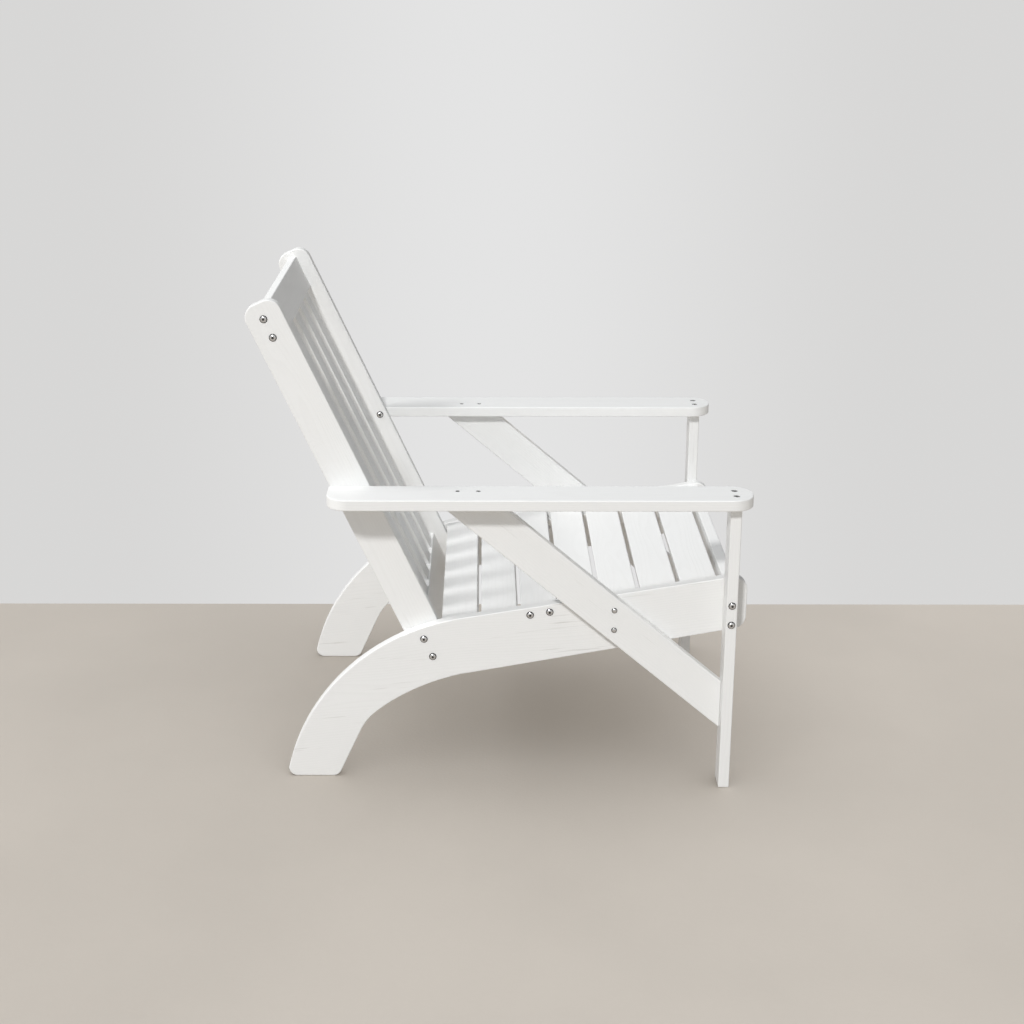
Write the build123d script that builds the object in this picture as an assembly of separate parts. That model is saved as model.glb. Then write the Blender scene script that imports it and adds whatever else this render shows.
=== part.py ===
from build123d import *
import os
from math import cos, floor, radians, sin, tan

# White-painted adirondack chair of flat boards, in millimetres. The chair faces +X and +Z is up.
# Left and right are the sitter's: left is +Y. The origin is on the floor at the middle of the chair.

# Boards
BOARD = 20.0                    # thickness of the frame boards
EDGE_ROUND = 2.0                # softened edges
SEAT_WIDTH = 527.0              # clear width between the side rails

# Side rails, each one board with the rear leg
POST_X = 413.0                  # middle of the front posts
RAIL_TOP_AT_POST = 398.5        # height of the rail's top edge at the post
RAIL_DEPTH_AT_POST = 102.0      # top edge to underside, upright, at the post
SEAT_SLOPE = 9.37               # degrees, top edge
UNDERSIDE_SLOPE = 10.42         # degrees
RAIL_NOSE = 23.0                # rail in front of the post's front face
NOSE_ROUND = 25.0
LEG_BEND_X = -72.0              # where the top edge starts to curve down into the leg
FOOT_REAR_X = -398.5            # rear corner of the foot, before rounding
ARCH_START_X = -57.7            # where the underside starts to curve down into the leg
ARCH_RADIUS = 388.0
ARCH_TURN = 27.6                # degrees
KNEE_RADIUS = 111.0
KNEE_TURN = 27.3                # degrees
FOOT_ROUND = 16.0

# Front posts, braces and armrests
POST_DEPTH = 44.0               # across the chair
POST_HEIGHT = 545.5
BRACE_WIDTH = 70.0
BRACE_ANGLE = 40.15             # degrees from level
BRACE_FOOT_Z = 202.0            # where the upper edge meets the post
ARM_WIDTH = 84.0
ARM_FRONT_OVERHANG = 21.0       # in front of the post's front face
ARM_REAR_OVERHANG = 5.5         # behind the back post's rear edge
ARM_ROUND = 38.0                # front corners and the outer rear corner
ARM_INNER_ROUND = 5.0           # inner rear corner

# Back
BACK_X = -131.9                 # middle of the bottom back rail
BACK_DROP = 48.3                # below the line of the rail's top edge
BACK_LEAN = 24.8                # degrees from upright
BACK_LENGTH = 652.4             # middle of the bottom rail to the middle of the header
BACK_POST_WIDTH = 66.0
BACK_POST_LEAD = 2.0            # middle of the back post ahead of the cross rails
BACK_POST_TOP = 47.6            # above the middle of the header
BACK_POST_TAIL = 45.0           # below the middle of the bottom rail
BACK_POST_ROUND = 24.0
CROSS_RAIL_WIDTH = 68.0
BACK_SLAT_COUNT = 5
BACK_SLAT_WIDTH = 53.0
BACK_SLAT_THICKNESS = 12.5
BACK_SLAT_SETBACK = 3.5         # behind the front faces of the cross rails
BACK_SLAT_ROUND = 1.5
TENON_THICKNESS = 8.0
TENON_SHOULDER = 6.0            # at each edge of the slat
TENON_LENGTH = 15.0
TENON_FIT = 0.2                 # clearance all round the tenon

# Seat
SEAT_RECESS = 4.0               # slats below the rail's top edge
SEAT_SLAT_WIDTH = 66.0
SEAT_GAP = 5.0                  # least gap between slats
SEAT_BACK_CLEARANCE = 2.0       # last slat to the back posts
APRON_HEIGHT = 92.0
CLEAT_HEIGHT = 32.0
BOLTED_SLAT = 3                 # counted from the rear, bolted to the rails

# Fasteners
BOLT_RADIUS = 3.0
BOLT_FIT = 0.3                  # clearance round a shank
BOLT_HEAD_RADIUS = 6.8
BOLT_HEAD_HEIGHT = 3.8
BOLT_HEAD_RIM = 1.0             # straight edge of a domed head
SOCKET_SIZE = 4.0               # across flats
SOCKET_DEPTH = 2.2
HEADER_BOLT_SPACING = 36.0
BACK_RAIL_BOLT_SPACING = 38.0
SEAT_BOLT_SPACING = 36.0
POST_BOLT_SPACING = 37.0
POST_BOLT_DROP = 56.0           # middle of the pair below the rail's top edge
BRACE_BOLT_SPACING = 38.0
BRACE_BOLT_DROP = 41.0          # middle of the pair below the rail's top edge
BRACE_HEAD_RADIUS = 5.0
BRACE_HEAD_HEIGHT = 3.2
ARM_BACK_BOLT_LEAD = 18.0       # ahead of the back post's middle
BARREL_RADIUS = 5.0
BARREL_LENGTH = 14.0
BARREL_SETBACK = 30.0           # barrel nut from the end of its board
BARREL_FIT = 0.15
BOLT_OVERRUN = 6.0              # bolt past the middle of its barrel nut
HOLE_PAST_TIP = 1.0             # blind hole beyond the tip of its bolt or screw
THREAD_FIT = 0.1                # clearance in a nut or insert
INSERT_RADIUS = 5.0
INSERT_LENGTH = 14.0
INSERT_BOLT_SHORT = 1.0         # bolt's tip short of the end of its insert
ARM_SCREW_RADIUS = 3.0
POST_SCREW_GRIP = 55.0          # screw in the end of the post
POST_SCREW_HEAD_RADIUS = 5.6
POST_SCREW_SPACING = 30.0
BRACE_SCREW_GRIP = 18.0         # screw in the end of the brace
BRACE_SCREW_HEAD_RADIUS = 4.0
BRACE_SCREW_SPACING = 37.0
SCREW_HEAD_HEIGHT = 3.5
SCREW_SOCKET_DEPTH = 2.1
SCREW_TIP_LENGTH = 5.0
SCREW_TIP_RADIUS = 0.5
COUNTERBORE_DEPTH = 4.0
COUNTERBORE_FIT = 0.5           # clearance round a sunk head
CLEAT_SCREW_RADIUS = 2.0
CLEAT_SCREW_HEAD_RADIUS = 4.0
CLEAT_SCREW_GRIP = 12.0         # screw beyond the cleat
CLEAT_RAIL_SCREWS = 4           # from each cleat into its rail
SCREW_FIT = 0.1

# Planes and lines that the pieces share
rail_inner = SEAT_WIDTH / 2
rail_outer = rail_inner + BOARD
post_outer = rail_outer + POST_DEPTH
back_inner = rail_inner - BOARD
post_rear = POST_X - BOARD / 2
post_front = POST_X + BOARD / 2
seat_rise = tan(radians(SEAT_SLOPE))
lean_run = tan(radians(BACK_LEAN))


def rail_top(x):
    """Height of the line of the rail's top edge."""
    return RAIL_TOP_AT_POST + seat_rise * (x - POST_X)


def rail_underside(x):
    """Height of the line of the rail's underside."""
    return RAIL_TOP_AT_POST - RAIL_DEPTH_AT_POST + tan(radians(UNDERSIDE_SLOPE)) * (x - POST_X)


def slanted(x, z, degrees):
    """Frame at (x, 0, z) with its own X turned up from the chair's X by some degrees."""
    turn = radians(degrees)
    return Plane(origin=(x, 0, z), x_dir=(cos(turn), 0, sin(turn)), z_dir=(-sin(turn), 0, cos(turn)))


back_z = rail_top(BACK_X) - BACK_DROP
seat_frame = slanted(POST_X, RAIL_TOP_AT_POST, SEAT_SLOPE)
back_frame = slanted(BACK_X, back_z, BACK_LEAN)


def back_axis_x(z):
    """X of the line through the middles of the cross rails at a height."""
    return BACK_X - lean_run * (z - back_z)


def face_edges(board, axis):
    """Edges round the two broad faces that lie square to an axis."""
    faces = board.faces().filter_by(axis).sort_by(axis)
    return faces[0].edges() + faces[-1].edges()


def side_board(outline, inner_y, thickness=BOARD):
    """Board cut to an outline in the XZ plane, from inner_y outwards, with softened edges."""
    board = extrude(Plane.XZ * outline, amount=thickness, dir=(0, 1, 0))
    board = Pos(0, inner_y, 0) * board
    return fillet(face_edges(board, Axis.Y), EDGE_ROUND)


def mirrored(piece):
    """The same piece on the chair's right."""
    return mirror(piece, about=Plane.XZ)


def facing_y(x, y, z, outward=1):
    """Place of a fastener whose head looks along +Y or -Y."""
    return Plane(origin=(x, y, z), x_dir=(1, 0, 0), z_dir=(0, outward, 0)).location


def hexagon_socket(size, depth, top):
    """Cutter for a hexagon socket that goes down from a height, open upwards."""
    return Pos(0, 0, top - depth) * extrude(RegularPolygon(size / 2, 6, major_radius=False), 2 * depth)


def domed_bolt(length, head_radius, head_height, socket=True):
    """Bolt with its domed head above Z=0 and its shank below."""
    dome = TangentArc((0, head_height), (head_radius, BOLT_HEAD_RIM), tangent=(1, 0))
    seat = [(head_radius, 0), (BOLT_RADIUS, 0)]
    tip = [(BOLT_RADIUS, -length), (0, -length)]
    stem = Polyline(dome @ 1, *seat, *tip, dome @ 0)
    bolt = revolve(Plane.XZ * make_face(Curve() + [dome, stem]), Axis.Z)
    if socket:
        bolt -= hexagon_socket(SOCKET_SIZE, SOCKET_DEPTH, head_height)
    return bolt


def sunk_screw(length, radius, head_radius, socket=False):
    """Flat-headed screw with its head just above Z=0 and a pointed tip below."""
    head = [(0, SCREW_HEAD_HEIGHT), (head_radius, SCREW_HEAD_HEIGHT), (head_radius, 0), (radius, 0)]
    tip = [(radius, SCREW_TIP_LENGTH - length), (SCREW_TIP_RADIUS, -length), (0, -length)]
    screw = revolve(Plane.XZ * make_face(Polyline(*head, *tip, close=True)), Axis.Z)
    if socket:
        screw -= hexagon_socket(SOCKET_SIZE, SCREW_SOCKET_DEPTH, SCREW_HEAD_HEIGHT)
    return screw


def bore(radius, depth):
    """Cutter for a hole that starts at Z=0 and goes down, open upwards."""
    return Pos(0, 0, (radius - depth) / 2) * Cylinder(radius, depth + radius)


def threaded_sleeve(radius, length):
    """Insert that is flush with Z=0 and goes down, with a through bore for the bolt."""
    sleeve = Pos(0, 0, -length / 2) * Cylinder(radius, length)
    return sleeve - bore(BOLT_RADIUS + THREAD_FIT, 2 * length)


def barrel_nut():
    """Barrel nut along Z, with its cross bore along X."""
    nut = Cylinder(BARREL_RADIUS, BARREL_LENGTH)
    return nut - Rot(0, 90, 0) * Cylinder(BOLT_RADIUS + THREAD_FIT, 4 * BARREL_RADIUS)


nodes = {}


def add_pair(name, left):
    """Keep a piece and its mirror image as left and right nodes."""
    nodes[name + "_left"] = [left]
    nodes[name + "_right"] = [mirrored(left)]


def add_both_sides(name, left_solids):
    """Keep like fasteners of both sides as one node of separate solids."""
    nodes[name] = left_solids + [mirrored(solid) for solid in left_solids]


# Places of the fasteners, as (x, z) seen from the side, on the chair's left
def along_back(height, spacing):
    """Two places on the back's middle line, spaced about a height above the bottom rail."""
    places = [back_frame.from_local_coords((0, 0, height + side * spacing / 2)) for side in (1, -1)]
    return [(place.X, place.Z) for place in places]


header_places = along_back(BACK_LENGTH, HEADER_BOLT_SPACING)
back_rail_places = along_back(0, BACK_RAIL_BOLT_SPACING)
post_bolt_z = RAIL_TOP_AT_POST - POST_BOLT_DROP
post_places = [(POST_X, post_bolt_z + side * POST_BOLT_SPACING / 2) for side in (1, -1)]

brace_slope = tan(radians(BRACE_ANGLE))
brace_cut = BRACE_WIDTH / cos(radians(BRACE_ANGLE))
brace_middle_z = BRACE_FOOT_Z - brace_cut / 2
brace_bolt_x = (
    brace_middle_z + brace_slope * post_rear - RAIL_TOP_AT_POST + seat_rise * POST_X + BRACE_BOLT_DROP
) / (seat_rise + brace_slope)
brace_bolt_z = rail_top(brace_bolt_x) - BRACE_BOLT_DROP
brace_places = [(brace_bolt_x, brace_bolt_z + side * BRACE_BOLT_SPACING / 2) for side in (1, -1)]

arm_middle_z = POST_HEIGHT + BOARD / 2
arm_bolt_x = back_axis_x(arm_middle_z) + (BACK_POST_LEAD + ARM_BACK_BOLT_LEAD) / cos(radians(BACK_LEAN))
brace_top_x = post_rear - (POST_HEIGHT - brace_middle_z) / brace_slope
post_screw_places = [(POST_X, (rail_outer + post_outer + side * POST_SCREW_SPACING) / 2) for side in (1, -1)]
brace_screw_places = [
    (brace_top_x + side * BRACE_SCREW_SPACING / 2, rail_outer + BOARD / 2) for side in (1, -1)
]

# Seat slats fill the seat from the apron back to the back posts, with even gaps
slat_top = -SEAT_RECESS
slat_bottom = slat_top - BOARD
seat_front = seat_frame.to_local_coords((post_rear, 0, rail_top(post_rear))).X + seat_rise * slat_bottom
back_front_low = back_frame.from_local_coords((BACK_POST_LEAD + BACK_POST_WIDTH / 2, 0, 0))
post_edge = seat_frame.to_local_coords(back_front_low)
seat_rear = post_edge.X - tan(radians(BACK_LEAN - SEAT_SLOPE)) * (slat_bottom - post_edge.Z)
seat_length = seat_front - seat_rear - SEAT_BACK_CLEARANCE
seat_slat_count = floor(seat_length / (SEAT_SLAT_WIDTH + SEAT_GAP))
seat_pitch = seat_length / seat_slat_count
seat_slat_middles = [seat_front - (index + 0.5) * seat_pitch - (seat_pitch - SEAT_SLAT_WIDTH) / 2
                     for index in range(seat_slat_count)]
bolted_slat = seat_slat_count - BOLTED_SLAT
seat_bolt_points = [
    seat_frame.from_local_coords(
        (seat_slat_middles[bolted_slat] + side * SEAT_BOLT_SPACING / 2, 0, slat_top - BOARD / 2))
    for side in (1, -1)
]
seat_places = [(point.X, point.Z) for point in seat_bolt_points]


def drilled(board, places, from_y, radius, depth):
    """Board on the chair's left with bores along Y that start at from_y and go inwards."""
    for x, z in places:
        board -= facing_y(x, from_y, z) * bore(radius, depth)
    return board


# Side rails
def rail_outline():
    """Rail and rear leg seen from the side."""
    front_x = post_front + RAIL_NOSE
    top = Line((front_x, rail_top(front_x)), (LEG_BEND_X, rail_top(LEG_BEND_X)))
    rear = TangentArc(top @ 1, (FOOT_REAR_X, 0), tangent=top % 1)
    underside = Line((front_x, rail_underside(front_x)), (ARCH_START_X, rail_underside(ARCH_START_X)))
    arch = JernArc(underside @ 1, underside % 1, ARCH_RADIUS, ARCH_TURN)
    knee = JernArc(arch @ 1, arch % 1, KNEE_RADIUS, KNEE_TURN)
    shin = knee % 1
    foot_inner = (knee @ 1) - shin * ((knee @ 1).Y / shin.Y)
    leg = Line(knee @ 1, foot_inner)
    sole = Line(rear @ 1, foot_inner)
    nose = Line(top @ 0, underside @ 0)
    outline = make_face(Curve() + [top, rear, sole, leg, knee, arch, underside, nose])
    outline = fillet(outline.vertices().group_by(Axis.X)[-1], NOSE_ROUND)
    return fillet(outline.vertices().group_by(Axis.Y)[0], FOOT_ROUND)


rail = side_board(rail_outline(), rail_inner)
through = 2 * BOARD
shank_bore = BOLT_RADIUS + BOLT_FIT
barrel_bolt_hole = BARREL_SETBACK + BOLT_OVERRUN + HOLE_PAST_TIP
rail_places = back_rail_places + seat_places + post_places + brace_places
rail = drilled(rail, rail_places, rail_outer, shank_bore, through)
for x, z in brace_places:
    rail -= facing_y(x, rail_inner, z, -1) * bore(INSERT_RADIUS, INSERT_LENGTH)

# Seat cleats carry the slats on the rails' inner faces
cleat_rear = seat_rear + SEAT_BACK_CLEARANCE
cleat_front = seat_front + seat_rise * -CLEAT_HEIGHT - SEAT_BACK_CLEARANCE
cleat_length = cleat_front - cleat_rear - CLEAT_HEIGHT * tan(radians(BACK_LEAN - SEAT_SLOPE))
cleat_middle = cleat_front - cleat_length / 2
cleat_y = rail_inner - BOARD / 2
cleat_z = slat_bottom - CLEAT_HEIGHT / 2
cleat = Pos(cleat_middle, cleat_y, cleat_z) * Box(cleat_length, BOARD, CLEAT_HEIGHT)
cleat = fillet(cleat.edges().filter_by(Axis.X), EDGE_ROUND)
slat_screw_places = [Pos(s, cleat_y, slat_bottom - CLEAT_HEIGHT) * Rot(180, 0, 0) for s in seat_slat_middles]
rail_screw_pitch = cleat_length / CLEAT_RAIL_SCREWS
# A quarter of a slat ahead of even spacing, clear of the slat screws
rail_screw_first = cleat_middle - (CLEAT_RAIL_SCREWS - 1) / 2 * rail_screw_pitch + SEAT_SLAT_WIDTH / 4
rail_screw_places = [
    Pos(rail_screw_first + index * rail_screw_pitch, rail_inner - BOARD, cleat_z) * Rot(90, 0, 0)
    for index in range(CLEAT_RAIL_SCREWS)
]
screw_bore = CLEAT_SCREW_RADIUS + SCREW_FIT
head_bore = CLEAT_SCREW_HEAD_RADIUS + SCREW_FIT
slat_screw_length = CLEAT_HEIGHT - SCREW_HEAD_HEIGHT + CLEAT_SCREW_GRIP
slat_screw = sunk_screw(slat_screw_length, CLEAT_SCREW_RADIUS, CLEAT_SCREW_HEAD_RADIUS)
rail_screw_length = BOARD - SCREW_HEAD_HEIGHT + CLEAT_SCREW_GRIP
rail_screw = sunk_screw(rail_screw_length, CLEAT_SCREW_RADIUS, CLEAT_SCREW_HEAD_RADIUS)
for place in slat_screw_places:
    cleat -= place * bore(screw_bore, 2 * CLEAT_HEIGHT)
    cleat -= place * bore(head_bore, SCREW_HEAD_HEIGHT)
for place in rail_screw_places:
    cleat -= place * bore(screw_bore, through)
    cleat -= place * bore(head_bore, SCREW_HEAD_HEIGHT)
    rail -= seat_frame.location * place * bore(screw_bore, BOARD + CLEAT_SCREW_GRIP + HOLE_PAST_TIP)
sunk = Pos(0, 0, -SCREW_HEAD_HEIGHT)
add_pair("side_rail", rail)
add_pair("seat_cleat", seat_frame.location * cleat)
seated = seat_frame.location
add_both_sides("cleat_slat_screws", [seated * place * sunk * slat_screw for place in slat_screw_places])
add_both_sides("cleat_rail_screws", [seated * place * sunk * rail_screw for place in rail_screw_places])

# Front posts
post = Pos(POST_X, rail_outer + POST_DEPTH / 2, POST_HEIGHT / 2) * Box(BOARD, POST_DEPTH, POST_HEIGHT)
post = fillet(post.edges().filter_by(Axis.Z) + post.edges().group_by(Axis.Z)[0], EDGE_ROUND)
post = drilled(post, post_places, post_outer, shank_bore, 2 * POST_DEPTH)
arm_screw_bore = ARM_SCREW_RADIUS + SCREW_FIT
for x, y in post_screw_places:
    post -= Pos(x, y, POST_HEIGHT) * bore(arm_screw_bore, POST_SCREW_GRIP + HOLE_PAST_TIP)
add_pair("front_post", post)

# Braces
brace_outline = make_face(Polyline(
    (post_rear, BRACE_FOOT_Z),
    (post_rear - (POST_HEIGHT - BRACE_FOOT_Z) / brace_slope, POST_HEIGHT),
    (post_rear - (POST_HEIGHT - BRACE_FOOT_Z + brace_cut) / brace_slope, POST_HEIGHT),
    (post_rear, BRACE_FOOT_Z - brace_cut),
    close=True,
))
brace = side_board(brace_outline, rail_outer)
brace = drilled(brace, brace_places, rail_outer + BOARD, shank_bore, through)
for x, y in brace_screw_places:
    brace -= Pos(x, y, POST_HEIGHT) * bore(arm_screw_bore, BRACE_SCREW_GRIP + HOLE_PAST_TIP)
add_pair("brace", brace)

# Armrests
arm_front = post_front + ARM_FRONT_OVERHANG
arm_rear = (back_axis_x(arm_middle_z) - ARM_REAR_OVERHANG
            - (BACK_POST_WIDTH / 2 - BACK_POST_LEAD) / cos(radians(BACK_LEAN)))
arm_length = arm_front - arm_rear
arm_outline = Pos((arm_front + arm_rear) / 2, rail_inner + ARM_WIDTH / 2) * Rectangle(arm_length, ARM_WIDTH)
arm_outline = fillet(arm_outline.vertices().sort_by(Axis.X)[-2:], ARM_ROUND)
rear_corners = arm_outline.vertices().group_by(Axis.X)[0].sort_by(Axis.Y)
arm_outline = fillet(rear_corners[-1], ARM_ROUND)
rear_corner = arm_outline.vertices().group_by(Axis.Y)[0].sort_by(Axis.X)[0]
arm_outline = fillet(rear_corner, ARM_INNER_ROUND)
arm = Pos(0, 0, POST_HEIGHT) * extrude(arm_outline, BOARD)
arm = fillet(face_edges(arm, Axis.Z), EDGE_ROUND)
arm_top = POST_HEIGHT + BOARD
arm_screw_sets = ((post_screw_places, POST_SCREW_HEAD_RADIUS), (brace_screw_places, BRACE_SCREW_HEAD_RADIUS))
for places, head_radius in arm_screw_sets:
    for x, y in places:
        arm -= Pos(x, y, arm_top) * bore(head_radius + COUNTERBORE_FIT, COUNTERBORE_DEPTH)
        arm -= Pos(x, y, arm_top) * bore(arm_screw_bore, through)
arm_bolt_place = facing_y(arm_bolt_x, rail_inner, arm_middle_z, -1)
arm -= arm_bolt_place * bore(INSERT_RADIUS, INSERT_LENGTH)
add_pair("armrest", arm)

# Back posts
back_post_outline = Pos(BACK_POST_LEAD, (BACK_LENGTH + BACK_POST_TOP - BACK_POST_TAIL) / 2) * Rectangle(
    BACK_POST_WIDTH, BACK_LENGTH + BACK_POST_TOP + BACK_POST_TAIL)
back_post_outline = fillet(back_post_outline.vertices().group_by(Axis.Y)[-1], BACK_POST_ROUND)
back_post = back_frame.location * side_board(back_post_outline, back_inner)
back_post = drilled(back_post, header_places + back_rail_places, rail_inner, shank_bore, through)
back_post -= facing_y(arm_bolt_x, back_inner, arm_middle_z, -1) * bore(shank_bore, through)
add_pair("back_post", back_post)


# Back header, bottom rail and slats
def end_bolted(board, places_local):
    """Cross rail in its own frame, with bores in both ends and barrel nut holes from the rear."""
    for z in places_local:
        for side in (1, -1):
            end = Plane(origin=(0, side * back_inner, z), x_dir=(1, 0, 0), z_dir=(0, side, 0)).location
            board -= end * bore(shank_bore, barrel_bolt_hole)
            hole = Pos(-BOARD / 2, side * (back_inner - BARREL_SETBACK), z) * Rot(0, -90, 0)
            board -= hole * bore(BARREL_RADIUS + BARREL_FIT, (BOARD + BARREL_LENGTH) / 2)
    return board


slat_gap = (2 * back_inner - BACK_SLAT_COUNT * BACK_SLAT_WIDTH) / (BACK_SLAT_COUNT + 1)
back_slat_middles = [
    -back_inner + slat_gap + BACK_SLAT_WIDTH / 2 + index * (slat_gap + BACK_SLAT_WIDTH)
    for index in range(BACK_SLAT_COUNT)
]
slat_x = BOARD / 2 - BACK_SLAT_SETBACK - BACK_SLAT_THICKNESS / 2
shoulder_low = CROSS_RAIL_WIDTH / 2
shoulder_high = BACK_LENGTH - CROSS_RAIL_WIDTH / 2
slat_span = shoulder_high - shoulder_low
tenon_width = BACK_SLAT_WIDTH - 2 * TENON_SHOULDER


def cross_rail(height, inner_edge, bolt_spacing):
    """Cross rail of the back at a height, with mortises in the edge that looks at the slats."""
    board = Pos(0, 0, height) * Box(BOARD, 2 * back_inner, CROSS_RAIL_WIDTH)
    board = fillet(board.edges().filter_by(Axis.Y), EDGE_ROUND)
    for y in back_slat_middles:
        board -= Pos(slat_x, y, inner_edge) * Box(
            TENON_THICKNESS + 2 * TENON_FIT, tenon_width + 2 * TENON_FIT, 2 * (TENON_LENGTH + TENON_FIT))
    return end_bolted(board, [height + bolt_spacing / 2, height - bolt_spacing / 2])


def back_slat(y):
    """Back slat with a tenon at each end."""
    middle = (shoulder_low + shoulder_high) / 2
    board = Pos(slat_x, y, middle) * Box(BACK_SLAT_THICKNESS, BACK_SLAT_WIDTH, slat_span)
    board = fillet(board.edges().filter_by(Axis.Z), BACK_SLAT_ROUND)
    return board + Pos(slat_x, y, middle) * Box(TENON_THICKNESS, tenon_width, slat_span + 2 * TENON_LENGTH)


nodes["back_header"] = [back_frame.location * cross_rail(BACK_LENGTH, shoulder_high, HEADER_BOLT_SPACING)]
nodes["back_bottom_rail"] = [back_frame.location * cross_rail(0, shoulder_low, BACK_RAIL_BOLT_SPACING)]
for index, y in enumerate(back_slat_middles):
    nodes[f"back_slat_{index + 1}"] = [back_frame.location * back_slat(y)]

# Front apron, its top edge cut to the slope of the seat
apron_top = [(x, rail_top(x) - SEAT_RECESS / cos(radians(SEAT_SLOPE))) for x in (post_rear, post_front)]
apron_bottom_z = apron_top[0][1] - APRON_HEIGHT
apron_outline = make_face(Polyline(
    apron_top[0], apron_top[1], (post_front, apron_bottom_z), (post_rear, apron_bottom_z), close=True))
apron = Pos(0, -rail_inner, 0) * extrude(Plane.XZ * apron_outline, amount=2 * rail_inner, dir=(0, 1, 0))
apron = fillet(apron.edges().filter_by(Axis.Y), EDGE_ROUND)
for x, z in post_places:
    for side in (1, -1):
        apron -= facing_y(x, side * rail_inner, z, side) * bore(shank_bore, barrel_bolt_hole)
        hole = Pos(post_rear, side * (rail_inner - BARREL_SETBACK), z) * Rot(0, -90, 0)
        apron -= hole * bore(BARREL_RADIUS + BARREL_FIT, (BOARD + BARREL_LENGTH) / 2)
nodes["front_apron"] = [apron]


# Seat slats, numbered from the front
def seat_slat(index):
    """Seat slat in the seat's frame, with its screw holes and, on the bolted one, its bolt bores."""
    middle = seat_slat_middles[index]
    board = Pos(middle, 0, slat_top - BOARD / 2) * Box(SEAT_SLAT_WIDTH, SEAT_WIDTH, BOARD)
    board = fillet(board.edges().filter_by(Axis.Y), EDGE_ROUND)
    for side in (1, -1):
        underside = Pos(middle, side * cleat_y, slat_bottom) * Rot(180, 0, 0)
        board -= underside * bore(screw_bore, CLEAT_SCREW_GRIP + HOLE_PAST_TIP)
        if index != bolted_slat:
            continue
        for offset in (SEAT_BOLT_SPACING / 2, -SEAT_BOLT_SPACING / 2):
            end = facing_y(middle + offset, side * rail_inner, slat_top - BOARD / 2, side)
            board -= end * bore(shank_bore, barrel_bolt_hole)
            hole = Pos(middle + offset, side * (rail_inner - BARREL_SETBACK), slat_bottom) * Rot(180, 0, 0)
            board -= hole * bore(BARREL_RADIUS + BARREL_FIT, (BOARD + BARREL_LENGTH) / 2)
    return board


for index in range(seat_slat_count):
    nodes[f"seat_slat_{index + 1}"] = [seat_frame.location * seat_slat(index)]


# Bolts with domed socket heads, their barrel nuts and inserts
def side_bolts(places, head_y, end_y):
    """Bolts from the outside through to a barrel nut behind the end of a board."""
    bolt = domed_bolt(head_y - end_y + BARREL_SETBACK + BOLT_OVERRUN, BOLT_HEAD_RADIUS, BOLT_HEAD_HEIGHT)
    return [facing_y(x, head_y, z) * bolt for x, z in places]


def side_barrels(places, end_y, degrees):
    """Barrel nuts whose own axis leans from the chair's Z by some degrees about Y."""
    turn = Rot(0, degrees, 0) * Rot(0, 0, 90)
    return [Pos(x, end_y - BARREL_SETBACK, z) * turn * barrel_nut() for x, z in places]


add_both_sides("header_bolts", side_bolts(header_places, rail_inner, back_inner))
add_both_sides("header_barrel_nuts", side_barrels(header_places, back_inner, 90 - BACK_LEAN))
add_both_sides("back_rail_bolts", side_bolts(back_rail_places, rail_outer, back_inner))
add_both_sides("back_rail_barrel_nuts", side_barrels(back_rail_places, back_inner, 90 - BACK_LEAN))
add_both_sides("seat_bolts", side_bolts(seat_places, rail_outer, rail_inner))
add_both_sides("seat_barrel_nuts", side_barrels(seat_places, rail_inner, -SEAT_SLOPE))
add_both_sides("front_post_bolts", side_bolts(post_places, post_outer, rail_inner))
add_both_sides("apron_barrel_nuts", side_barrels(post_places, rail_inner, 90))

brace_bolt_length = 2 * BOARD - INSERT_BOLT_SHORT
brace_bolt = domed_bolt(brace_bolt_length, BRACE_HEAD_RADIUS, BRACE_HEAD_HEIGHT, socket=False)
add_both_sides("brace_bolts", [facing_y(x, rail_outer + BOARD, z) * brace_bolt for x, z in brace_places])
sleeve = threaded_sleeve(INSERT_RADIUS, INSERT_LENGTH)
add_both_sides("brace_inserts", [facing_y(x, rail_inner, z, -1) * sleeve for x, z in brace_places])
arm_bolt_length = BOARD + INSERT_LENGTH - INSERT_BOLT_SHORT
arm_bolt = domed_bolt(arm_bolt_length, BOLT_HEAD_RADIUS, BOLT_HEAD_HEIGHT)
add_both_sides("arm_back_bolts", [facing_y(arm_bolt_x, back_inner, arm_middle_z, -1) * arm_bolt])
add_both_sides("arm_back_inserts", [arm_bolt_place * sleeve])

# Screws sunk in the armrests
for name, places, grip, head_radius in (
    ("arm_post_screws", post_screw_places, POST_SCREW_GRIP, POST_SCREW_HEAD_RADIUS),
    ("arm_brace_screws", brace_screw_places, BRACE_SCREW_GRIP, BRACE_SCREW_HEAD_RADIUS),
):
    length = BOARD - COUNTERBORE_DEPTH + grip
    screw = sunk_screw(length, ARM_SCREW_RADIUS, head_radius, socket=True)
    add_both_sides(name, [Pos(x, y, arm_top - COUNTERBORE_DEPTH) * screw for x, y in places])

os.makedirs("parts", exist_ok=True)
for name, solids in nodes.items():
    export_step(Compound(children=solids) if len(solids) > 1 else solids[0], f"parts/{name}.step")
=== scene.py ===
"""White-painted adirondack chair: paint on the boards, turned bolts and screws, and a plain stage."""

from math import cos, radians, sin

import bpy
from bpy.props import FloatProperty, FloatVectorProperty, IntProperty, PointerProperty
from bpy.types import NodeSocket, Operator, Panel, PropertyGroup
from mathutils import Matrix, Vector


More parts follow.
